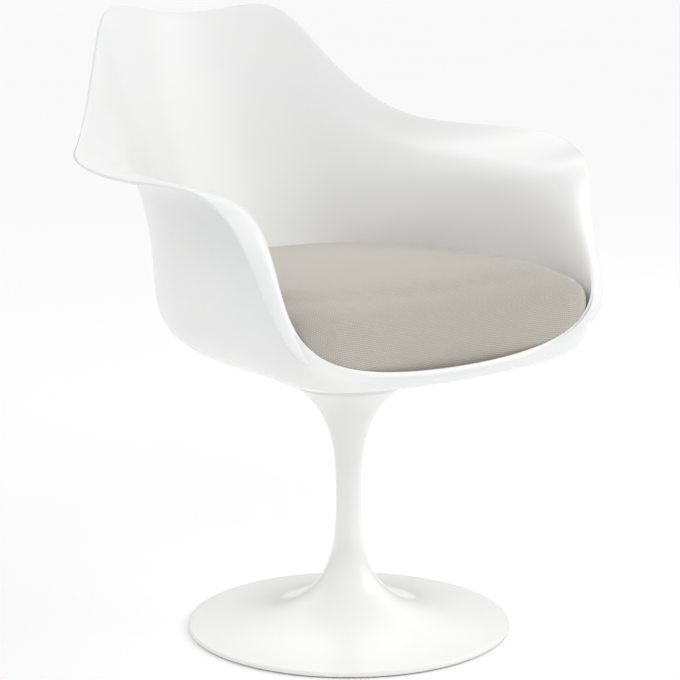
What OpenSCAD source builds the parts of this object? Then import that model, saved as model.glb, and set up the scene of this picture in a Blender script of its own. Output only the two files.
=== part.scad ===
// Pedestal swivel armchair: a one-piece moulded shell on a trumpet pedestal,
// with a loose upholstered seat cushion. Millimetres, +Z up, front towards -Y.
// The origin lies on the swivel axis at floor level.

/* [Pedestal] */
// Height of the pedestal's top face above the floor
pedestal_h = 333; // [320:1:360]
// Radius of the round base
base_r = 214; // [190:1:240]
// Thickness of the base at its edge
base_edge_t = 6.5; // [5:0.5:9]
// Outside radius of the stem at its waist
stem_r = 16.5; // [16:0.5:22]
// Wall of the hollow casting
stem_wall = 5; // [4:0.25:5]
// Radius of the collar where the pedestal meets the seat hub
collar_r = 68; // [62:1:74]
// Width of the dark gap between the pedestal and the seat hub
seam_gap = 1.5; // [1:0.1:2.5]
// Height of the rubber floor ring below the casting
floor_lift = 1.5; // [1:0.25:3]

/* [Swivel] */
// Radius of the steel spindle
spindle_r = 8; // [7:0.25:8.5]
// Length of the spindle below the pedestal's top face
spindle_drop = 95; // [80:1:105]
// Radius of the bearing balls
ball_r = 3; // [2.5:0.1:3.2]
// Number of bearing balls
ball_count = 12; // [8:1:16]
// Outside radius of the thrust races
race_r = 30; // [28:0.5:32]

/* [Shell] */
// Width across the arms
shell_w = 750; // [680:5:800]
// Depth from the seat front to the top of the back
shell_d = 620; // [580:5:660]
// Height of the shell above its mounting pad
shell_h = 462; // [420:2:500]
// Distance from the swivel axis to the seat front
front_reach = 220; // [205:1:235]
// Thickness of the shell at its rim
rim_t = 5; // [4:0.25:7]
// Thickness of the shell over its mounting pad
pad_t = 8; // [7.5:0.25:10]
// Backward tilt of the mounting pad
pad_tilt = 5; // [3:0.5:6]

/* [Cushion] */
// Height of the cushion's crown above the mounting pad
cushion_h = 146; // [115:1:147]
// Rise of the crown over the cushion's shoulder
cushion_crown = 8; // [4:1:24]
// Thickness of the woven cover
cover_t = 1.5; // [1:0.25:2.5]

/* [Hidden] */

white = "white";
steel = "silver";
beige = "antiquewhite";
overrun = 1;
fit_gap = 0.05;
touch_gap = 0.3;
bearing_gap = 0.04;
big = 2 * shell_w;

// Pedestal outline
waist_low_z = 172;
upper_flare_h = 143;
waist_high_z = pedestal_h - upper_flare_h;
lip_h = 7;
lip_round = 1.5;
disc_r = 110;
disc_z = 20;
edge_round = 3;
rim_band = 24;
base_edge_z = floor_lift + base_edge_t;
// Shares of the step out from the stem, then of the step up or down
upper_flare_shares = [[0, 0], [0, 0.55], [0.33, 0.81], [1, 1]];
lower_flare_shares = [[0, 1], [0, 0.53], [0.11, 0.13], [1, 0]];
disc_shares = [[0, 1], [0.31, 0.4], [0.71, 0.12], [1, 0]];
flare_steps = 14;

// Floor ring
ring_w = 10;
ring_inset = 20;
ring_in_r = base_r - ring_inset;
ring_depth = 2.5;

// Swivel fittings
pocket_depth = 14;
pocket_gap = 1;
race_t = 3.5;
track_share = 0.77;
track_r = track_share * race_r;
track_depth = 1;
bush_t = 2;
bush_len = 22;
bush_flange = 3.5;
bush_head_t = 2;
bush_r = spindle_r + bearing_gap + bush_t;
bush_head_r = bush_r + bush_flange;
race_bore_r = bush_head_r + touch_gap;
spindle_clear = 1;
stem_bore_r = stem_r - stem_wall;
cage_t = 2;
cage_w = 12;
ball_play = 0.2;
pocket_z = pedestal_h - pocket_depth;
race_low_z = pocket_z + race_t;
ball_z = race_low_z + ball_r - track_depth;
race_high_z = ball_z + ball_r - track_depth;
boss_z = race_high_z + race_t;
shoulder_z = pedestal_h - spindle_drop + bush_head_t + touch_gap;
spindle_low_z = pedestal_h - spindle_drop;
washer_t = 2;
washer_r = stem_bore_r - touch_gap;
screw_r = 4;
screw_head_r = 6.5;
screw_head_h = 6;
screw_grip = 24;
screw_key_r = 3.5;
screw_key_depth = 4;

// Seat hub
hub_t = 9.5;
hub_flare = 4;
hub_edge_round = 1;
hub_rise = 20;
hub_flare_shares = [[0, 0], [0, 0.5], [0.5, 1], [1, 1]];
hub_z = pedestal_h + seam_gap;
pad_z = hub_z + hub_t;
boss_r = race_r - pocket_gap;
spindle_head_r = 14;
spindle_head_t = 4;
spindle_head_floor = 1.5;
spindle_head_z = hub_z + spindle_head_floor;

// Screws that hold the shell to the hub
shell_screw_count = 4;
shell_screw_ring_r = 50;
shell_screw_r = 3;
shell_screw_head_r = 5.5;
shell_screw_head_h = 3;
shell_screw_key_r = 2;
shell_washer_r = 7;
shell_washer_t = 1;
shell_screw_sink = shell_screw_head_h + shell_washer_t;
shell_screw_play = 0.3;
insert_wall = 1.2;
insert_len = 5;
insert_sink = 0.5;
insert_r = shell_screw_r + insert_wall;
shell_screw_bite = insert_sink + insert_len;

// Touch-and-close discs under the cushion
tape_r = 30;
tape_t = 1.5;

// Shell surface: rows of control points from the mounting pad out to the rim,
// each with twelve places from the middle of the back round to the seat front.
// Across: shares of half the width. Along: shares of the depth, from the front.
// Up: shares of the height above the pad.
pan_x_shares = [0, 0.23, 0.41, 0.5, 0.57, 0.61, 0.61, 0.61, 0.63, 0.59, 0.32, 0];
pan_y_shares = [0.73, 0.72, 0.69, 0.64, 0.57, 0.47, 0.35, 0.22, 0.09, 0.01, 0.03, 0.04];
pan_z_shares = [0.16, 0.16, 0.16, 0.15, 0.14, 0.13, 0.12, 0.11, 0.1, 0.08, 0.05, 0.04];
wall_x_shares = [0, 0.23, 0.37, 0.47, 0.57, 0.64, 0.65, 0.63, 0.65, 0.61, 0.34, 0];
wall_y_shares = [0.83, 0.81, 0.74, 0.64, 0.53, 0.42, 0.28, 0.15, 0.03, -0.01, 0.01, 0.02];
wall_z_shares = [0.43, 0.42, 0.39, 0.37, 0.37, 0.38, 0.37, 0.33, 0.22, 0.12, 0.08, 0.06];
fold_x_shares = [0, 0.27, 0.42, 0.52, 0.59, 0.63, 0.6, 0.59, 0.64, 0.63, 0.4, 0];
fold_y_shares = [0.91, 0.89, 0.82, 0.7, 0.56, 0.39, 0.23, 0.12, 0.05, 0.01, 0.01, 0.01];
fold_z_shares = [0.74, 0.73, 0.67, 0.59, 0.56, 0.57, 0.56, 0.51, 0.36, 0.2, 0.09, 0.08];
rim_x_shares = [0, 0.36, 0.45, 0.65, 0.85, 1.03, 0.96, 0.77, 0.7, 0.69, 0.51, 0];
rim_y_shares = [0.99, 0.95, 0.89, 0.75, 0.57, 0.4, 0.29, 0.13, 0.07, 0, 0, 0];
rim_z_shares = [0.95, 1.04, 0.93, 0.66, 0.65, 0.64, 0.59, 0.6, 0.36, 0.2, 0.1, 0.07];
// Height of the roll between fold and rim, against the straight line between them
roll_shares = [-0.01, -0.01, -0.02, -0.02, -0.02, -0.01, 0, 0.02, 0.03, 0.02, 0.02, 0.01];
pad_margin = 2;
pad_r = collar_r + hub_flare + pad_margin;
// Row by which the wall has thinned from the pad's thickness to the rim's
thin_row_share = 3;
// Reach and rise of the two rows between pad and pan, as shares of the pan's
pan_inner_share = 0.48;
pan_inner_rise_share = 0.03;
pan_middle_share = 0.75;
pan_middle_rise_share = 0.5;
around = 84;
rows_out = 24;
rim_steps = 4;

// Cushion: how far out its seam lies along the shell's rows, and its side's form
seam_row_shares = [3.1, 3.1, 3.15, 3.2, 3.25, 3.25, 3.25, 3.3, 3.45, 3.6, 3.5, 3.4];
cushion_around = 40;
cushion_under_rows = 3;
cushion_over_rows = 9;
cushion_gap = 0.6;
cushion_tape_gap = 2 * tape_t + touch_gap;
shoulder_power_share = 0.22;
draw_in_share = 0.985;

// Places on splines
function span_weights(w) = [
    pow(1 - w, 3),
    3 * pow(w, 3) - 6 * pow(w, 2) + 4,
    3 * (w + pow(w, 2) - pow(w, 3)) + 1,
    pow(w, 3)
] / 6;

function slope_weights(w) = [
    -pow(1 - w, 2),
    3 * pow(w, 2) - 4 * w,
    1 + 2 * w - 3 * pow(w, 2),
    pow(w, 2)
] / 2;

function blend(p, first, w) = p[first] * w[0] + p[first + 1] * w[1]
    + p[first + 2] * w[2] + p[first + 3] * w[3];

function bezier(p, t) = p[0] * pow(1 - t, 3) + 3 * p[1] * t * pow(1 - t, 2)
    + 3 * p[2] * pow(t, 2) * (1 - t) + p[3] * pow(t, 3);

// A curve through shares, scaled from one corner to the other
function share_curve(shares, low, high) = [
    for (i = [0:flare_steps])
        let (s = bezier(shares, i / flare_steps))
        [low[0] + s[0] * (high[0] - low[0]), low[1] + s[1] * (high[1] - low[1])]
];

function unit(v) = v / norm(v);

// Moves children onto the tilted mounting pad, z = 0 at its underside
module on_pad() {
    translate([0, 0, pad_z]) rotate([-pad_tilt, 0, 0]) children();
}

module at_shell_screws() {
    for (i = [0:shell_screw_count - 1])
        rotate([0, 0, (i + 0.5) * 360 / shell_screw_count])
            translate([shell_screw_ring_r, 0, 0]) children();
}

// Ring of rectangular section
module ring(inner_r, outer_r, height) {
    difference() {
        cylinder(r = outer_r, h = height, $fn = 96);
        translate([0, 0, -overrun]) cylinder(r = inner_r, h = height + 2 * overrun, $fn = 96);
    }
}

// Closed sheet of triangles through rings of equal length, ended by two centres.
// Each four-sided patch is split along its shorter diagonal.
module closed_sheet(rings, first_centre, last_centre) {
    n = len(rings[0]);
    last_row = len(rings) - 1;
    points = concat([first_centre, last_centre], [for (r = rings) each r]);
    first_fan = [for (i = [0:n - 1]) [0, 2 + i, 2 + (i + 1) % n]];
    last_fan = [for (i = [0:n - 1]) [1, 2 + last_row * n + (i + 1) % n, 2 + last_row * n + i]];
    sides = [
        for (r = [0:last_row - 1], i = [0:n - 1])
            let (a = 2 + r * n + i, b = 2 + r * n + (i + 1) % n, c = a + n, d = b + n)
            each norm(points[a] - points[d]) < norm(points[b] - points[c])
                ? [[a, c, d], [a, d, b]]
                : [[a, c, b], [b, c, d]]
    ];
    polyhedron(points = points, faces = concat(first_fan, sides, last_fan), convexity = 8);
}

function reversed(list) = [for (i = [len(list) - 1:-1:0]) list[i]];

// Pedestal outline from the foot of the edge up to the lip, as radius and height
function edge_arc() = [
    for (a = [-90:22.5:90])
        [base_r - edge_round + edge_round * cos(a),
            floor_lift + base_edge_t / 2 * (1 + sin(a))]
];

function foot_curve() = concat(
    reversed(share_curve(disc_shares, [disc_r, base_edge_z], [base_r - edge_round, disc_z])),
    reversed([for (i = [0:flare_steps - 1])
        share_curve(lower_flare_shares, [stem_r, disc_z], [disc_r, waist_low_z])[i]])
);

function neck_curve() =
    share_curve(upper_flare_shares, [stem_r, waist_high_z], [collar_r, pedestal_h - lip_h]);

// The foot curve moved inwards by the wall of the casting
function foot_inside() =
    let (p = foot_curve(), last = len(p) - 1)
    [
        for (i = [1:last - 1])
            let (t = unit(p[i + 1] - p[i - 1]), q = p[i] + stem_wall * [-t[1], t[0]])
            if (q[0] < base_r - rim_band && q[0] > stem_bore_r) q
    ];

module pedestal_body() {
    rotate_extrude($fn = 180)
        polygon(concat(
            [[0, floor_lift]],
            edge_arc(),
            [for (i = [1:len(foot_curve()) - 1]) foot_curve()[i]],
            neck_curve(),
            [[collar_r, pedestal_h - lip_round], [collar_r - lip_round, pedestal_h], [0, pedestal_h]]
        ));
}

module pedestal_cavity() {
    rotate_extrude($fn = 180)
        polygon(concat(
            [[0, -overrun], [base_r - rim_band, -overrun]],
            [[base_r - rim_band, foot_inside()[0][1]]],
            foot_inside(),
            [[stem_bore_r, waist_low_z], [stem_bore_r, shoulder_z], [0, shoulder_z]]
        ));
}

module pedestal() {
    color(white) difference() {
        pedestal_body();
        pedestal_cavity();
        translate([0, 0, shoulder_z - overrun])
            cylinder(r = spindle_r + spindle_clear, h = pedestal_h, $fn = 96);
        translate([0, 0, shoulder_z - overrun])
            cylinder(r = bush_r, h = bush_len + overrun, $fn = 96);
        translate([0, 0, pocket_z - bush_len])
            cylinder(r = bush_r, h = bush_len + overrun, $fn = 96);
        translate([0, 0, pocket_z])
            cylinder(r = race_r + fit_gap, h = pocket_depth + overrun, $fn = 96);
        translate([0, 0, floor_lift - overrun]) ring(ring_in_r, ring_in_r + ring_w, ring_depth + overrun);
    }
}

module floor_ring() {
    color("dimgray") ring(ring_in_r, ring_in_r + ring_w, floor_lift + ring_depth);
}

// Grooves that the balls run in
module ball_track() {
    translate([0, 0, ball_z])
        rotate_extrude($fn = 96) translate([track_r, 0]) circle(r = ball_r + bearing_gap, $fn = 48);
}

module thrust_race_lower() {
    color(steel) difference() {
        translate([0, 0, pocket_z]) ring(race_bore_r, race_r, race_t);
        ball_track();
    }
}

module thrust_race_upper() {
    color(steel) difference() {
        translate([0, 0, race_high_z]) ring(race_bore_r, boss_r, race_t);
        ball_track();
    }
}

module at_balls() {
    for (i = [0:ball_count - 1])
        rotate([0, 0, i * 360 / ball_count]) translate([track_r, 0, ball_z]) children();
}

module thrust_balls() {
    color(steel) at_balls() sphere(r = ball_r, $fn = 48);
}

module thrust_cage() {
    color("goldenrod") difference() {
        translate([0, 0, ball_z - cage_t / 2])
            ring(track_r - cage_w / 2, track_r + cage_w / 2, cage_t);
        at_balls() translate([0, 0, -cage_t])
            cylinder(r = ball_r + ball_play, h = 2 * cage_t, $fn = 48);
    }
}

module upper_bush() {
    color("tan") difference() {
        union() {
            translate([0, 0, pocket_z - bush_len]) cylinder(r = bush_r, h = bush_len, $fn = 96);
            translate([0, 0, pocket_z]) cylinder(r = bush_head_r, h = bush_head_t, $fn = 96);
        }
        translate([0, 0, pocket_z - bush_len - overrun])
            cylinder(r = spindle_r + bearing_gap, h = pocket_depth + bush_len, $fn = 96);
    }
}

module lower_bush() {
    color("tan") difference() {
        union() {
            translate([0, 0, shoulder_z]) cylinder(r = bush_r, h = bush_len, $fn = 96);
            translate([0, 0, shoulder_z - bush_head_t])
                cylinder(r = stem_bore_r - fit_gap, h = bush_head_t, $fn = 96);
        }
        translate([0, 0, shoulder_z - bush_head_t - overrun])
            cylinder(r = spindle_r + bearing_gap, h = bush_len + bush_head_t + 2 * overrun, $fn = 96);
    }
}

module spindle() {
    color(steel) difference() {
        union() {
            translate([0, 0, spindle_low_z])
                cylinder(r = spindle_r, h = spindle_head_z - spindle_low_z, $fn = 96);
            translate([0, 0, spindle_head_z])
                cylinder(r = spindle_head_r, h = spindle_head_t, $fn = 96);
        }
        translate([0, 0, spindle_low_z - overrun])
            cylinder(r = screw_r, h = screw_grip - washer_t + overrun, $fn = 48);
    }
}

module retaining_washer() {
    color(steel) translate([0, 0, spindle_low_z - washer_t])
        ring(screw_r + fit_gap, washer_r, washer_t);
}

module retaining_screw() {
    head_z = spindle_low_z - washer_t - screw_head_h;
    color("dimgray") difference() {
        union() {
            translate([0, 0, head_z]) cylinder(r = screw_head_r, h = screw_head_h, $fn = 48);
            translate([0, 0, head_z]) cylinder(r = screw_r, h = screw_head_h + screw_grip, $fn = 48);
        }
        translate([0, 0, head_z - overrun])
            cylinder(r = screw_key_r, h = screw_key_depth + overrun, $fn = 6);
    }
}

// Hub casting: round below, cut to the tilt of the shell's pad above
module seat_hub() {
    color(white) difference() {
        intersection() {
            rotate_extrude($fn = 180)
                polygon(concat(
                    [[0, boss_z], [boss_r, boss_z], [boss_r, hub_z]],
                    [[collar_r - hub_edge_round, hub_z]],
                    share_curve(hub_flare_shares, [collar_r, hub_z + hub_edge_round],
                        [collar_r + hub_flare, hub_z + hub_rise]),
                    [[0, hub_z + hub_rise]]
                ));
            on_pad() translate([-big / 2, -big / 2, -big]) cube(big);
        }
        translate([0, 0, boss_z - overrun])
            cylinder(r = spindle_r, h = pad_z, $fn = 96);
        translate([0, 0, spindle_head_z])
            cylinder(r = spindle_head_r, h = pad_z, $fn = 96);
        on_pad() at_shell_screws() translate([0, 0, -shell_screw_bite])
            cylinder(r = insert_r, h = shell_screw_bite + overrun, $fn = 48);
    }
}

module hub_inserts() {
    color("goldenrod") on_pad() at_shell_screws() translate([0, 0, -shell_screw_bite])
        ring(shell_screw_r, insert_r, insert_len);
}

// Control points of the shell, each row as a loop round the seat
function share_row(xs, ys, zs) = [
    for (i = [0:len(xs) - 1])
        [xs[i] * shell_w / 2, ys[i] * shell_d - front_reach, pad_z + zs[i] * shell_h]
];

function pad_inside_z(y) = pad_z + pad_t / cos(pad_tilt) - y * tan(pad_tilt);

function pad_row(places) = [
    for (i = [0:places - 1])
        let (a = 180 * i / (places - 1), y = pad_r * cos(a) * cos(pad_tilt) + pad_t * sin(pad_tilt))
        [pad_r * sin(a), y, pad_inside_z(y)]
];

function pan_row(row, reach, rise) = [
    for (p = row)
        let (y = p[1] * reach)
        [p[0] * reach, y, pad_inside_z(y) + rise * (p[2] - pad_inside_z(p[1]))]
];

function roll_row(low, high) = [
    for (i = [0:len(low) - 1])
        (low[i] + high[i]) / 2 + [0, 0, roll_shares[i] * shell_h]
];

function looped(row) =
    let (other = [for (i = [len(row) - 2:-1:1]) [-row[i][0], row[i][1], row[i][2]]])
    concat([other[len(other) - 1]], row, other, [row[0], row[1], row[2]]);

pan = share_row(pan_x_shares, pan_y_shares, pan_z_shares);
wall = share_row(wall_x_shares, wall_y_shares, wall_z_shares);
fold = share_row(fold_x_shares, fold_y_shares, fold_z_shares);
rim = share_row(rim_x_shares, rim_y_shares, rim_z_shares);
rows = [
    pad_row(len(pan)),
    pan_row(pan, pan_inner_share, pan_inner_rise_share),
    pan_row(pan, pan_middle_share, pan_middle_rise_share),
    pan,
    wall,
    fold,
    roll_row(fold, rim),
    rim
];
spans = len(rows) - 1;
loops = [
    for (row = concat([2 * rows[0] - rows[1]], rows, [2 * rim - rows[spans - 1]])) looped(row)
];
loop_spans = 2 * (len(pan) - 1);

// One column of the surface: its control points and their slopes round the loop
function column(place) = let (k = floor(place)) [
    [for (loop = loops) blend(loop, k, span_weights(place - k))],
    [for (loop = loops) blend(loop, k, slope_weights(place - k))]
];

// Point, outward slope and inside normal of a column at a row place
function surface_at(col, v) =
    let (
        k = min(floor(v), spans - 1),
        outward = blend(col[0], k, slope_weights(v - k)),
        sideways = blend(col[1], k, span_weights(v - k))
    )
    [blend(col[0], k, span_weights(v - k)), unit(outward), unit(cross(sideways, outward))];

function wall_thickness(v) = rim_t + (pad_t - rim_t) * max(0, 1 - v / thin_row_share);

module shell_skin() {
    grid = [
        for (j = [0:rows_out])
            [for (i = [0:around - 1]) surface_at(column(i * loop_spans / around), j * spans / rows_out)]
    ];
    pad_normal = [0, sin(pad_tilt), cos(pad_tilt)];
    inside = [for (row = grid) [for (s = row) s[0]]];
    outside = [
        for (j = [0:rows_out])
            [for (s = grid[j]) s[0] - (j == 0 ? pad_normal : s[2]) * wall_thickness(j * spans / rows_out)]
    ];
    edge = [
        for (q = [1:rim_steps - 1])
            let (a = 180 * q / rim_steps)
            [for (s = grid[rows_out]) s[0] + rim_t / 2 * (s[2] * (cos(a) - 1) + s[1] * sin(a))]
    ];
    closed_sheet(
        concat(inside, edge, reversed(outside)),
        [0, 0, pad_inside_z(0)],
        [0, 0, pad_z]
    );
}

module shell() {
    color(white) difference() {
        shell_skin();
        on_pad() at_shell_screws() {
            translate([0, 0, -overrun])
                cylinder(r = shell_screw_r + shell_screw_play, h = pad_t + 2 * overrun, $fn = 48);
            translate([0, 0, pad_t - shell_screw_sink])
                cylinder(r = shell_washer_r + shell_screw_play, h = shell_screw_sink + overrun, $fn = 48);
        }
    }
}

module shell_washers() {
    color(steel) on_pad() at_shell_screws() translate([0, 0, pad_t - shell_screw_sink])
        ring(shell_screw_r + shell_screw_play, shell_washer_r, shell_washer_t);
}

module shell_screws() {
    head_z = pad_t - shell_screw_head_h;
    color(steel) on_pad() at_shell_screws() difference() {
        union() {
            translate([0, 0, head_z]) cylinder(r = shell_screw_head_r, h = shell_screw_head_h, $fn = 48);
            translate([0, 0, -shell_screw_bite])
                cylinder(r = shell_screw_r, h = head_z + shell_screw_bite, $fn = 48);
        }
        translate([0, 0, pad_t - shell_screw_key_r])
            cylinder(r = shell_screw_key_r, h = shell_screw_key_r + overrun, $fn = 6);
    }
}

module hook_disc() {
    color("dimgray") on_pad() translate([0, 0, pad_t]) cylinder(r = tape_r, h = tape_t, $fn = 96);
}

module loop_disc() {
    color("gray") on_pad() translate([0, 0, pad_t + cushion_tape_gap - tape_t])
        cylinder(r = tape_r, h = tape_t, $fn = 96);
}

// Cushion outline: where its seam lies on the shell's inside
seam_rows =
    let (v = seam_row_shares, last = len(v) - 1)
    concat([v[1]], v, [for (i = [last - 1:-1:0]) v[i]], [v[1], v[2]]);

function seam_place(place) = let (k = floor(place)) blend(seam_rows, k, span_weights(place - k));

cushion_columns = [
    for (i = [0:cushion_around - 1])
        let (place = i * loop_spans / cushion_around)
        [column(place), seam_place(place)]
];
cushion_edge = [
    for (c = cushion_columns)
        let (s = surface_at(c[0], c[1]))
        s[0] + s[2] * cushion_gap
];
cushion_middle = (cushion_edge[0] + cushion_edge[cushion_around / 2]) / 2;

function cushion_top_z(reach) = pad_z + cushion_h - cushion_crown * pow(reach, 2);

// A ring of the cushion's upper side at an angle from the seam (0) to the crown (90)
function over_ring(angle, inset) = [
    for (e = cushion_edge)
        let (
            reach = angle == 0 ? draw_in_share : pow(cos(angle), shoulder_power_share),
            away = [e[0] - cushion_middle[0], e[1] - cushion_middle[1]],
            flat = away * reach * (1 - inset / norm(away)),
            rise = cushion_top_z(reach) - e[2] - 2 * inset
        )
        [
            cushion_middle[0] + flat[0],
            cushion_middle[1] + flat[1],
            e[2] + inset + rise * pow(sin(angle), shoulder_power_share)
        ]
];

// A ring of the cushion's underside, a share of the way from the pad to the seam
function under_ring(share, inset) =
    let (gap = cushion_tape_gap + share * (cushion_gap - cushion_tape_gap) + inset)
    [
        for (c = cushion_columns)
            let (s = surface_at(c[0], share * c[1]))
            s[0] + gap * (share == 0 ? [0, sin(pad_tilt), cos(pad_tilt)] : s[2])
    ];

// Rings from the crown down to the seam
function over_rings(inset) = [
    for (k = [cushion_over_rows - 1:-1:0]) over_ring(90 * k / cushion_over_rows, inset)
];

// Rings from the pad out to just before the seam
function under_rings(inset) = [
    for (j = [0:cushion_under_rows - 1]) under_ring(j / cushion_under_rows, inset)
];

function crown_point(inset) = [cushion_middle[0], cushion_middle[1], cushion_top_z(0) - inset];

function under_point(inset) =
    let (gap = cushion_tape_gap + inset)
    [0, gap * sin(pad_tilt), pad_inside_z(0) + gap * cos(pad_tilt)];

module cushion_foam() {
    color(beige) closed_sheet(
        concat(over_rings(cover_t), reversed(under_rings(cover_t))),
        crown_point(cover_t),
        under_point(cover_t)
    );
}

module cushion_cover_top() {
    color(beige) closed_sheet(
        concat(over_rings(0), reversed(over_rings(cover_t))),
        crown_point(0),
        crown_point(cover_t)
    );
}

module cushion_cover_base() {
    color("lightgray") closed_sheet(
        concat(
            under_rings(cover_t),
            [over_ring(0, cover_t), over_ring(0, 0)],
            reversed(under_rings(0))
        ),
        under_point(cover_t),
        under_point(0)
    );
}

pedestal();
floor_ring();
thrust_race_lower();
upper_bush();
lower_bush();
thrust_cage();
thrust_balls();
thrust_race_upper();
seat_hub();
hub_inserts();
spindle();
retaining_washer();
retaining_screw();
shell();
shell_washers();
shell_screws();
hook_disc();
loop_disc();
cushion_foam();
cushion_cover_top();
cushion_cover_base();
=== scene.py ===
import math

import bmesh
import bpy
from mathutils import Matrix, Vector
from mathutils.bvhtree import BVHTree


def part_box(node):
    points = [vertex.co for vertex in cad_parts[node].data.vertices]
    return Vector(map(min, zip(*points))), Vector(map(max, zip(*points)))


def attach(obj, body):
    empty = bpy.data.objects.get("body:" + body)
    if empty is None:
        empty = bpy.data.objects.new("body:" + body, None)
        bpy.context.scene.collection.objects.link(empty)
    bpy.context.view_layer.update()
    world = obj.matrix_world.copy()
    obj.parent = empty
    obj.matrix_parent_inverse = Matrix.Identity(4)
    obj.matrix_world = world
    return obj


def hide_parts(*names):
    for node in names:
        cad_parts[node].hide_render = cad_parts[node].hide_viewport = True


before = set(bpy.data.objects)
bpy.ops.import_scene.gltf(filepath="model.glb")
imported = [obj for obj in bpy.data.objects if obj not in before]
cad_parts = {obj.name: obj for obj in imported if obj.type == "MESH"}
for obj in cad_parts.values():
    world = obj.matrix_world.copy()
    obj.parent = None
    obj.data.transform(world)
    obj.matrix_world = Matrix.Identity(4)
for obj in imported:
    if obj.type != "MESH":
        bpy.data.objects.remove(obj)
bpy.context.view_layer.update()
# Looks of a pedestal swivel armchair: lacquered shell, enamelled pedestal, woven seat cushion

scene = bpy.context.scene
weldDistance = 0.00001  # points closer than this are one point


# Helpers

def linearColor(hexColor):
    # The standard sRGB curve, undone for each channel
    channels = [int(hexColor[i:i + 2], 16) / 255 for i in (1, 3, 5)]
    return [c / 12.92 if c <= 0.04045 else ((c + 0.055) / 1.055) ** 2.4 for c in channels] + [1.0]


def addNode(material, kind, settings=None, inputs=None):
    # Inputs are plain values, or (node, output name) pairs that become links
    tree = material.node_tree
    node = tree.nodes.new(kind)
    for key, value in (settings or {}).items():
        setattr(node, key, value)
    for key, value in (inputs or {}).items():
        if isinstance(value, tuple) and isinstance(value[0], bpy.types.Node):
            tree.links.new(value[0].outputs[value[1]], node.inputs[key])
        else:
            node.inputs[key].default_value = value
    return node


def startMaterial(name):
    material = bpy.data.materials.new(name)
    material.use_nodes = True
    material.node_tree.nodes.clear()
    return material


def endMaterial(material, shader, bump=None):
    addNode(material, "ShaderNodeOutputMaterial", {}, {"Surface": (shader, "BSDF")})
    if bump:
        material.node_tree.links.new(bump.outputs["Normal"], shader.inputs["Normal"])
    return material


def noiseAt(material, place, sizeMm, detail=2.0, roughness=0.5):
    # A noise whose blobs are about sizeMm across
    return addNode(material, "ShaderNodeTexNoise", {}, {
        "Vector": (place, "Vector" if "Vector" in place.outputs else "Object"),
        "Scale": 1000 / sizeMm, "Detail": detail, "Roughness": roughness})


def rangeOf(material, source, output, low, high, fromLow=0.15, fromHigh=0.85):
    return addNode(material, "ShaderNodeMapRange", {"clamp": True}, {
        "Value": (source, output), "From Min": fromLow, "From Max": fromHigh,
        "To Min": low, "To Max": high})


def mixColors(material, factor, output, first, second):
    # A color is a hex value, linear numbers or a (node, output name) pair
    first, second = [linearColor(c) if isinstance(c, str) else c for c in (first, second)]
    return addNode(material, "ShaderNodeMix", {"data_type": "RGBA"}, {
        0: (factor, output), 6: first, 7: second})


# Materials

def glossLacquer():
    # Moulded glass-fibre polyester, sprayed and polished: soft reflections over a faint waviness
    finish = {"white": "#f3f3f1", "cooler": "#eeeff0", "roughness": (0.28, 0.34), "ior": 1.5,
              "coat": 0.35, "coatRoughness": 0.16, "coatIor": 1.5, "cloudMm": 180,
              "waveMm": 55, "waveBump": 0.05, "waveDepth": 0.002,
              "peelMm": 2.2, "peelBump": 0.04, "peelDepth": 0.0002}
    material = startMaterial("glossLacquer")
    place = addNode(material, "ShaderNodeTexCoord")
    cloud = noiseAt(material, place, finish["cloudMm"], 2)
    wave = noiseAt(material, place, finish["waveMm"], 1)
    peel = noiseAt(material, place, finish["peelMm"], 1)
    tone = rangeOf(material, cloud, "Fac", 0, 1)
    color = mixColors(material, tone, "Result", finish["white"], finish["cooler"])
    polish = rangeOf(material, wave, "Fac", *finish["roughness"])
    wavy = addNode(material, "ShaderNodeBump", {}, {
        "Height": (wave, "Fac"), "Strength": finish["waveBump"], "Distance": finish["waveDepth"]})
    skin = addNode(material, "ShaderNodeBump", {}, {
        "Height": (peel, "Fac"), "Normal": (wavy, "Normal"),
        "Strength": finish["peelBump"], "Distance": finish["peelDepth"]})
    shader = addNode(material, "ShaderNodeBsdfPrincipled", {}, {
        "Base Color": (color, "Result"), "Roughness": (polish, "Result"), "IOR": finish["ior"],
        "Coat Weight": finish["coat"], "Coat Roughness": finish["coatRoughness"],
        "Coat IOR": finish["coatIor"]})
    return endMaterial(material, shader, skin)


def bakedEnamel():
    # Cast aluminium with a baked enamel: soft bright reflections over a fine spray texture
    finish = {"white": "#f4f4f3", "warmer": "#f0f0ee", "roughness": (0.29, 0.35), "ior": 1.5,
              "coat": 0.4, "coatRoughness": 0.1, "cloudMm": 90,
              "sprayMm": 1.4, "sprayBump": 0.05, "sprayDepth": 0.0002}
    material = startMaterial("bakedEnamel")
    place = addNode(material, "ShaderNodeTexCoord")
    cloud = noiseAt(material, place, finish["cloudMm"], 2)
    spray = noiseAt(material, place, finish["sprayMm"], 2)
    tone = rangeOf(material, cloud, "Fac", 0, 1)
    color = mixColors(material, tone, "Result", finish["white"], finish["warmer"])
    polish = rangeOf(material, cloud, "Fac", *finish["roughness"])
    skin = addNode(material, "ShaderNodeBump", {}, {
        "Height": (spray, "Fac"), "Strength": finish["sprayBump"],
        "Distance": finish["sprayDepth"]})
    shader = addNode(material, "ShaderNodeBsdfPrincipled", {}, {
        "Base Color": (color, "Result"), "Roughness": (polish, "Result"), "IOR": finish["ior"],
        "Coat Weight": finish["coat"], "Coat Roughness": finish["coatRoughness"]})
    return endMaterial(material, shader, skin)


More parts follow.
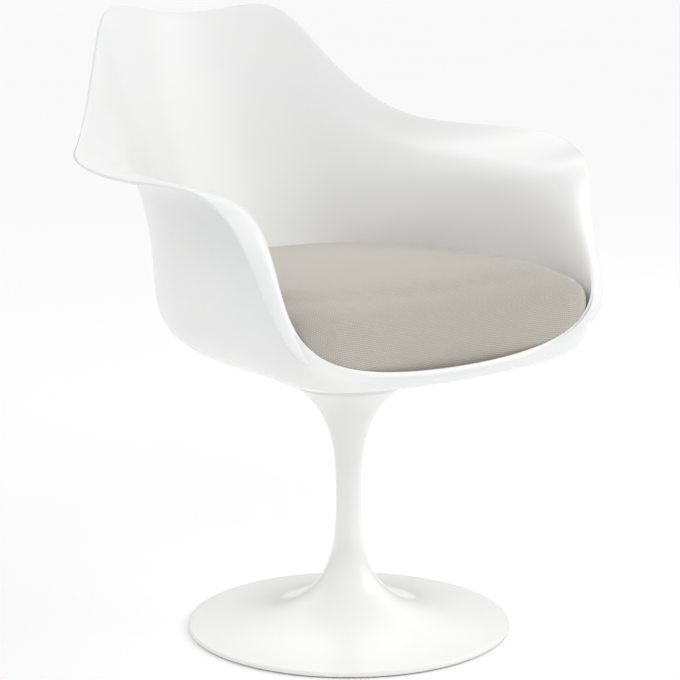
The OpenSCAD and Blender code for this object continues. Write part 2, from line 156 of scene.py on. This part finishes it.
def plainWeave(name, warpHex, weftHex, shadowHex, threadMm):
    # Upholstery cloth of two close shades, one thread over and one under, with a bloom of fibres
    finish = {"slubMm": 9, "slubShift": 0.0011, "heather": (0.96, 1.03), "overlap": 0.35,
              "gapShade": 0.45, "bump": 0.5, "threadDepth": 0.0006, "roughness": 0.88, "ior": 1.5,
              "specular": 0.25, "sheen": 1.0, "sheenRoughness": 0.4, "sheenTint": "#fff9ef"}
    material = startMaterial(name)
    flat = addNode(material, "ShaderNodeUVMap", {"uv_map": "clothMap"})
    slub = noiseAt(material, addNode(material, "ShaderNodeTexCoord"), finish["slubMm"], 3)
    drift = addNode(material, "ShaderNodeVectorMath", {"operation": "SCALE"}, {
        0: (slub, "Color"), "Scale": finish["slubShift"]})
    laid = addNode(material, "ShaderNodeVectorMath", {"operation": "ADD"}, {
        0: (flat, "UV"), 1: (drift, "Vector")})
    apart = addNode(material, "ShaderNodeSeparateXYZ", {}, {"Vector": (laid, "Vector")})
    turn = math.pi * 1000 / threadMm

    def thread(axis):
        angle = addNode(material, "ShaderNodeMath", {"operation": "MULTIPLY"}, {
            0: (apart, axis), 1: turn})
        return addNode(material, "ShaderNodeMath", {"operation": "SINE"}, {0: (angle, "Value")})

    crossing = addNode(material, "ShaderNodeMath", {"operation": "MULTIPLY"}, {
        0: (thread("X"), "Value"), 1: (thread("Y"), "Value")})
    warpOver = rangeOf(material, crossing, "Value", 0, 1, -finish["overlap"], finish["overlap"])
    height = addNode(material, "ShaderNodeMath", {"operation": "ABSOLUTE"}, {
        0: (crossing, "Value")})
    yarn = mixColors(material, warpOver, "Result", weftHex, warpHex)
    # Painted shade: the gaps between the crossing threads darken towards shadowHex, where shade
    # would fall
    depth = rangeOf(material, height, "Value", 0, 1, 0.0, finish["gapShade"])
    shaded = mixColors(material, depth, "Result", shadowHex, (yarn, "Result"))
    heather = rangeOf(material, slub, "Fac", *finish["heather"])
    toned = addNode(material, "ShaderNodeVectorMath", {"operation": "SCALE"}, {
        0: (shaded, "Result"), "Scale": (heather, "Result")})
    skin = addNode(material, "ShaderNodeBump", {}, {
        "Height": (height, "Value"), "Strength": finish["bump"], "Distance": finish["threadDepth"]})
    shader = addNode(material, "ShaderNodeBsdfPrincipled", {}, {
        "Base Color": (toned, "Vector"), "Roughness": finish["roughness"], "IOR": finish["ior"],
        "Specular IOR Level": finish["specular"], "Sheen Weight": finish["sheen"],
        "Sheen Roughness": finish["sheenRoughness"],
        "Sheen Tint": linearColor(finish["sheenTint"])})
    return endMaterial(material, shader, skin)


def turnedMetal(name, brightHex, darkHex, roughness, lineMm):
    # Turned or ground metal: fine rings round the swivel axis in the gloss
    finish = {"waves": 160, "distortion": 1.5, "stainMm": 12, "smoother": 0.06, "rougher": 0.08,
              "bump": 0.06, "lineDepth": 0.0001}  # 160 waves make one line about lineMm wide
    material = startMaterial(name)
    place = addNode(material, "ShaderNodeTexCoord")
    rings = addNode(material, "ShaderNodeTexWave", {"wave_type": "RINGS", "rings_direction": "Z"}, {
        "Vector": (place, "Object"), "Scale": finish["waves"] / lineMm,
        "Distortion": finish["distortion"], "Detail": 2})
    stain = noiseAt(material, place, finish["stainMm"], 3)
    tone = rangeOf(material, stain, "Fac", 0, 1)
    color = mixColors(material, tone, "Result", brightHex, darkHex)
    polish = rangeOf(material, rings, "Fac", roughness - finish["smoother"],
                     roughness + finish["rougher"], 0, 1)
    skin = addNode(material, "ShaderNodeBump", {}, {
        "Height": (rings, "Fac"), "Strength": finish["bump"], "Distance": finish["lineDepth"]})
    shader = addNode(material, "ShaderNodeBsdfPrincipled", {}, {
        "Base Color": (color, "Result"), "Metallic": 1.0, "Roughness": (polish, "Result")})
    return endMaterial(material, shader, skin)


def grainySolid(name, lightHex, darkHex, grainMm, roughness, bumpStrength):
    # A dull solid with a fine grain, such as rubber or touch tape
    finish = {"grainDepth": 0.0005, "ior": 1.5}
    material = startMaterial(name)
    place = addNode(material, "ShaderNodeTexCoord")
    grain = noiseAt(material, place, grainMm, 3, 0.6)
    tone = rangeOf(material, grain, "Fac", 0, 1)
    color = mixColors(material, tone, "Result", darkHex, lightHex)
    skin = addNode(material, "ShaderNodeBump", {}, {
        "Height": (grain, "Fac"), "Strength": bumpStrength, "Distance": finish["grainDepth"]})
    shader = addNode(material, "ShaderNodeBsdfPrincipled", {}, {
        "Base Color": (color, "Result"), "Roughness": roughness, "IOR": finish["ior"]})
    return endMaterial(material, shader, skin)


print("materials")
shellFinish = glossLacquer()
enamelFinish = bakedEnamel()
# Threads are about 1.5 mm apart on the real cloth, drawn at 2 mm so that they show in the picture
threadMm = 2.0
coverCloth = plainWeave("plainWeave", "#ccc7bf", "#c0bbb2", "#a09b91", threadMm)
liningCloth = plainWeave("cottonLining", "#b9b4ab", "#aaa59d", "#827e77", threadMm)
nodeFinishes = {
    "floor_ring": grainySolid("mattRubber", "#2c2c2b", "#1c1c1c", 0.8, 0.75, 0.3),
    "hook_disc": grainySolid("nylonHooks", "#26262a", "#0f0f11", 1.1, 0.6, 0.9),
    "loop_disc": grainySolid("nylonLoops", "#5a5a58", "#3c3c3b", 1.6, 0.9, 0.8),
    "thrust_race_lower": turnedMetal("groundSteel", "#c9cacc", "#b7b8bb", 0.22, 0.4),
    "upper_bush": turnedMetal("sinteredBronze", "#b98d55", "#9c7443", 0.42, 0.5),
    "thrust_cage": turnedMetal("pressedBrass", "#d2ae62", "#b9924a", 0.3, 0.6),
    "retaining_washer": turnedMetal("zincPlate", "#cfd1d3", "#b4b7bb", 0.34, 0.5),
}
sameFinish = {
    "thrust_race_upper": "thrust_race_lower", "thrust_balls": "thrust_race_lower",
    "spindle": "thrust_race_lower", "lower_bush": "upper_bush", "hub_inserts": "thrust_cage",
    "retaining_screw": "retaining_washer", "shell_washers": "retaining_washer",
    "shell_screws": "retaining_washer",
}
for node, like in sameFinish.items():
    nodeFinishes[node] = nodeFinishes[like]
for node, finish in nodeFinishes.items():
    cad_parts[node].data.materials.clear()
    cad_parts[node].data.materials.append(finish)


# Pieces that stand for a node start from a welded copy of it

def weldedCopy(node):
    mesh = bmesh.new()
    mesh.from_mesh(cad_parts[node].data)
    bmesh.ops.remove_doubles(mesh, verts=mesh.verts, dist=weldDistance)
    return mesh


def newPiece(name, mesh, materials, sharpDegrees=180):
    data = bpy.data.meshes.new(name)
    mesh.to_mesh(data)
    mesh.free()
    for leftover in [a.name for a in data.attributes if a.name in ("custom_normal", "UVMap")]:
        data.attributes.remove(data.attributes[leftover])
    data.polygons.foreach_set("use_smooth", [True] * len(data.polygons))
    if sharpDegrees < 180:
        data.set_sharp_from_angle(angle=math.radians(sharpDegrees))
    data.materials.clear()
    for material in materials:
        data.materials.append(material)
    piece = bpy.data.objects.new(name, data)
    scene.collection.objects.link(piece)
    return piece


def addSubdivision(piece, levels):
    subdivision = piece.modifiers.new("subdivision", "SUBSURF")
    subdivision.levels = levels
    subdivision.render_levels = levels


def placePiece(piece, body, slot, *nodes):
    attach(piece, body)
    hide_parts(*nodes)


print("shell")
shellForm = {"padInner": 0.068, "padOuter": 0.078, "padHeight": 0.37, "creaseDegrees": 30,
             "levels": 2}


def onPad(place, radius):
    return math.hypot(place.x, place.y) < radius and place.z < shellForm["padHeight"]


def patchDiagonals(mesh):
    # Rows of points are numbered by their steps out from the pad's edge. Between two rows the edges
    # are by turns a column, with one end at each point of a row, and the diagonal of a patch.
    row = {v: 0 for v in mesh.verts
           if onPad(v.co, shellForm["padOuter"]) and not onPad(v.co, shellForm["padInner"])}
    front = list(row)
    while front:
        reached = []
        for vertex in front:
            for edge in vertex.link_edges:
                other = edge.other_vert(vertex)
                if other not in row and not onPad(other.co, shellForm["padInner"]):
                    row[other] = row[vertex] + 1
                    reached.append(other)
        front = reached
    crossing = {e for e in mesh.edges
                if all(v in row for v in e.verts) and row[e.verts[0]] != row[e.verts[1]]}
    diagonals, left = [], set(crossing)
    while left:
        strip = [next(iter(left))]
        face = strip[0].link_faces[0]
        while True:
            follow = next(e for e in face.edges if e in crossing and e is not strip[-1])
            if follow is strip[0]:
                break
            strip.append(follow)
            face = next(f for f in follow.link_faces if f is not face)
        left -= set(strip)
        choices = [(strip[k::2], strip[1 - k::2]) for k in (0, 1)]
        fitting = [c for c in choices if len({v for e in c[0] for v in e.verts}) == 2 * len(c[0])]
        diagonals += min(fitting, key=lambda c: sum(e.calc_length() for e in c[0]))[1]
    return diagonals


def makeShell():
    mesh = weldedCopy("shell")
    bmesh.ops.dissolve_edges(mesh, edges=patchDiagonals(mesh), use_verts=False)
    crease = mesh.edges.layers.float.new("crease_edge")
    for edge in mesh.edges:
        middle = (edge.verts[0].co + edge.verts[1].co) / 2
        sharp = edge.calc_face_angle(0) > math.radians(shellForm["creaseDegrees"])
        if sharp and onPad(middle, shellForm["padInner"]):
            edge[crease] = 1
    piece = newPiece("seatShell", mesh, [shellFinish])
    addSubdivision(piece, shellForm["levels"])
    placePiece(piece, "seat", "shell_gloss", "shell")


makeShell()

print("pedestal and hub")
castingForm = {"steps": 180, "sharpDegrees": 35, "flatDegrees": 0.2}


def makePedestal():
    # The casting is round, so the section of its solid is spun again into even faces
    mesh = weldedCopy("pedestal")
    bmesh.ops.bisect_plane(mesh, geom=mesh.verts[:] + mesh.edges[:] + mesh.faces[:],
                           dist=weldDistance / 10, plane_co=(0, 0, 0), plane_no=(0, 1, 0),
                           clear_inner=True, clear_outer=True)
    bmesh.ops.delete(mesh, geom=[v for v in mesh.verts if v.co.x < 0], context="VERTS")
    bmesh.ops.dissolve_limit(mesh, angle_limit=math.radians(castingForm["flatDegrees"]),
                             verts=mesh.verts, edges=mesh.edges)
    bmesh.ops.spin(mesh, geom=mesh.verts[:] + mesh.edges[:], cent=(0, 0, 0), axis=(0, 0, 1),
                   angle=2 * math.pi, steps=castingForm["steps"], use_merge=True)
    bmesh.ops.remove_doubles(mesh, verts=mesh.verts, dist=weldDistance)
    bmesh.ops.recalc_face_normals(mesh, faces=mesh.faces)
    piece = newPiece("trumpetPedestal", mesh, [enamelFinish], castingForm["sharpDegrees"])
    placePiece(piece, "pedestal", "pedestal_finish", "pedestal")


makePedestal()
hub = newPiece("hubCasting", weldedCopy("seat_hub"), [enamelFinish], castingForm["sharpDegrees"])
placePiece(hub, "seat", "pedestal_finish", "seat_hub")

print("cushion")
cushionForm = {"voxel": 0.005, "pressure": 4.0, "frames": 20, "sideCap": 0.010, "crownCap": 0.008,
               "sideSwell": 0.009, "relax": 16, "relaxShare": 0.5, "coverThickness": 0.0015,
               "lean": 0.022, "sideFall": 0.3, "sideFrom": 0.1, "frontFall": 0.5,
               "frontFrom": 0.02, "cornerHold": 0.8, "cornerAt": 0.2, "fallFrom": 0.4,
               "fallTo": 0.48, "lookFrom": 0.03, "shellGap": 0.0005, "fill": 0.8,
               "mapShoulder": 0.02, "mapCore": 0.05}


def evaluatedMesh(piece):
    graph = bpy.context.evaluated_depsgraph_get()
    return bpy.data.meshes.new_from_object(piece.evaluated_get(graph))


def inflated(piece):
    # Pressure from inside swells the remeshed pad. The caps say how far the cloth may move, and its
    # sides press outwards by sideSwell at least, as foam does in a tight seat.
    cloth = piece.modifiers.new("cloth", "CLOTH")
    cloth.settings.use_pressure = True
    cloth.settings.uniform_pressure_force = cushionForm["pressure"]
    cloth.settings.effector_weights.gravity = 0
    cloth.point_cache.frame_start = 1
    cloth.point_cache.frame_end = cushionForm["frames"]
    for step in range(1, cushionForm["frames"] + 1):
        scene.frame_set(step)
    swollen = evaluatedMesh(piece)
    piece.modifiers.remove(cloth)
    scene.frame_set(1)
    moves = []
    for vertex, target in zip(piece.data.vertices, swollen.vertices):
        # Only the outward part counts, because a firm pad's cloth lies smooth
        outward = (target.co - vertex.co).dot(vertex.normal)
        upward = max(0, vertex.normal.z) ** 2
        cap = cushionForm["sideCap"] + upward * (cushionForm["crownCap"] - cushionForm["sideCap"])
        least = cushionForm["sideSwell"] * (1 - abs(vertex.normal.z))
        moves.append(vertex.normal * min(cap, max(least, outward)))
    for vertex, move in zip(piece.data.vertices, moves):
        vertex.co += move


def surfaceOf(node):
    mesh = weldedCopy(node)
    surface = BVHTree.FromBMesh(mesh)
    mesh.free()
    return surface


def keepClear(mesh):
    # Where the cloth would enter the shell or the tape disc, it lies against them. A look outwards
    # from well inside the pad finds the near side of the wall first.
    mesh.normal_update()
    inside, gap = cushionForm["lookFrom"], cushionForm["shellGap"]
    for surface in (surfaceOf("shell"), surfaceOf("loop_disc")):
        for vertex in mesh.verts:
            outward = vertex.normal.copy()
            touch = surface.ray_cast(vertex.co - outward * inside, outward, inside + gap)[0]
            if touch:
                vertex.co = touch - outward * gap
        for vertex in mesh.verts:
            touch, outward = surface.find_nearest(vertex.co)[:2]
            depth = gap - (vertex.co - touch).dot(outward)
            if 0 < depth < 2 * gap:
                vertex.co += outward * depth


def paintCloth(piece):
    # The map follows the cloth from the crown outwards and down the sides
    mesh = piece.data
    uv = mesh.uv_layers.new(name="clothMap")
    low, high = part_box("cushion_foam")
    middle = (low + high) / 2
    shoulder = high.z - cushionForm["mapShoulder"]
    for loop in mesh.loops:
        place = mesh.vertices[loop.vertex_index].co
        out = Vector((place.x - middle.x, place.y - middle.y))
        stretch = 1 + max(0, shoulder - place.z) / max(out.length, cushionForm["mapCore"])
        uv.data[loop.index].uv = out * stretch
    lining, cover = surfaceOf("cushion_cover_base"), surfaceOf("cushion_cover_top")
    for face in mesh.polygons:
        nearLining = lining.find_nearest(face.center)[3]
        nearCover = cover.find_nearest(face.center)[3]
        face.material_index = 1 if nearLining < nearCover else 0


def makeCushion():
    piece = newPiece("seatCushion", weldedCopy("cushion_foam"), [coverCloth, liningCloth])
    remesh = piece.modifiers.new("remesh", "REMESH")
    remesh.mode = "VOXEL"
    remesh.voxel_size = cushionForm["voxel"]
    remesh.use_smooth_shade = True
    piece.data = evaluatedMesh(piece)
    piece.modifiers.clear()
    inflated(piece)
    relaxed = bmesh.new()
    relaxed.from_mesh(piece.data)
    for step in range(cushionForm["relax"]):
        bmesh.ops.smooth_vert(relaxed, verts=relaxed.verts, factor=cushionForm["relaxShare"],
                              use_axis_x=True, use_axis_y=True, use_axis_z=True)
    relaxed.normal_update()
    for vertex in relaxed.verts:
        # The upper side falls a little to the back and the sides, and more to the front's middle
        fallHeight = cushionForm["fallTo"] - cushionForm["fallFrom"]
        above = (vertex.co.z - cushionForm["fallFrom"]) / fallHeight
        aside = max(0, abs(vertex.co.x) - cushionForm["sideFrom"])
        forward = max(0, -vertex.co.y - cushionForm["frontFrom"])
        held = cushionForm["cornerHold"] * min(1, (vertex.co.x / cushionForm["cornerAt"]) ** 2)
        fall = (vertex.co.y * cushionForm["lean"] + aside ** 2 * cushionForm["sideFall"]
                + forward ** 2 * cushionForm["frontFall"] * (1 - held))
        vertex.co += vertex.normal * cushionForm["coverThickness"]
        vertex.co.z -= fall * min(1, max(0, above))
    keepClear(relaxed)
    relaxed.to_mesh(piece.data)
    relaxed.free()
    paintCloth(piece)
    piece.data.polygons.foreach_set("use_smooth", [True] * len(piece.data.polygons))
    addSubdivision(piece, 1)
    placePiece(piece, "cushion", "cover_weave",
               "cushion_foam", "cushion_cover_top", "cushion_cover_base")


makeCushion()

print("studio")
studio = {"floorRadius": 80, "floor": "#ffffff", "floorDrift": "#fefefe", "wall": "#d3d3d3",
          "skyHeights": (0, 0.3, 0.65, 1), "skyShares": (0.0, 0.49, 1.0, 0.27), "skyStrength": 1.48,
          "keyPower": 21, "keySize": 1.8, "keyPlace": (2.4, -2.2, 2.0),
          "sidePower": 6.5, "sideSize": 1.6, "sidePlace": (3.0, -0.4, 1.4),
          "aimHeight": 0.5, "floorCloudMm": 900}


def paleFloor():
    material = startMaterial("paleFloor")
    place = addNode(material, "ShaderNodeTexCoord")
    cloud = noiseAt(material, place, studio["floorCloudMm"], 2)
    tone = rangeOf(material, cloud, "Fac", 0, 1)
    color = mixColors(material, tone, "Result", studio["floor"], studio["floorDrift"])
    shader = addNode(material, "ShaderNodeBsdfDiffuse", {}, {
        "Color": (color, "Result"), "Roughness": 0.0})
    return endMaterial(material, shader)


def makeStudio():
    ground = bmesh.new()
    bmesh.ops.create_circle(ground, cap_ends=True, segments=96, radius=studio["floorRadius"])
    floor = newPiece("studioFloor", ground, [paleFloor()])
    world = bpy.data.worlds.new("softSky")
    world.use_nodes = True
    world.node_tree.nodes.clear()
    direction = addNode(world, "ShaderNodeTexCoord")
    upward = addNode(world, "ShaderNodeSeparateXYZ", {}, {"Vector": (direction, "Generated")})
    bands = addNode(world, "ShaderNodeValToRGB", {}, {"Fac": (upward, "Z")})
    stops = bands.color_ramp.elements
    while len(stops) < len(studio["skyHeights"]):
        stops.new(0.5)
    for stop, height, share in zip(stops, studio["skyHeights"], studio["skyShares"]):
        stop.position = height
        stop.color = (share, share, share, 1)
    # The bands light the chair, and the eye sees a plain pale wall beyond the floor
    rays = addNode(world, "ShaderNodeLightPath")
    seen = mixColors(world, rays, "Is Camera Ray", (bands, "Color"), studio["wall"])
    sky = addNode(world, "ShaderNodeBackground", {}, {
        "Color": (seen, "Result"), "Strength": studio["skyStrength"]})
    addNode(world, "ShaderNodeOutputWorld", {}, {"Surface": (sky, "Background")})
    scene.world = world
    for name in ("key", "side"):
        light = bpy.data.lights.new(name + "Light", "AREA")
        light.energy = studio[name + "Power"]
        light.size = studio[name + "Size"]
        lamp = bpy.data.objects.new(name + "Light", light)
        lamp.location = studio[name + "Place"]
        aim = Vector((0, 0, studio["aimHeight"])) - lamp.location
        lamp.rotation_euler = aim.to_track_quat("-Z", "Y").to_euler()
        scene.collection.objects.link(lamp)
    scene.view_settings.view_transform = "Standard"


def makeCamera():
    # Stands in front, to the sitter's right and a little above, as the photographer did
    view = {"turn": -37.02, "distance": 2.6056, "height": 0.8675, "tilt": 11.68, "focal": 107.83,
            "sensor": 36, "shiftX": -0.0126, "shiftY": 0.0642, "farthest": 200}
    camera = bpy.data.cameras.new("photoCamera")
    camera.sensor_width = view["sensor"]
    camera.lens = view["focal"]
    camera.shift_x = view["shiftX"]
    camera.shift_y = view["shiftY"]
    camera.clip_end = view["farthest"]
    holder = bpy.data.objects.new("photoCamera", camera)
    turn = math.radians(view["turn"])
    holder.location = (view["distance"] * math.sin(turn), -view["distance"] * math.cos(turn),
                       view["height"])
    holder.rotation_euler = (math.radians(90 - view["tilt"]), 0, turn)
    scene.collection.objects.link(holder)
    scene.camera = holder


makeStudio()
makeCamera()

bpy.context.view_layer.update()
print("done")
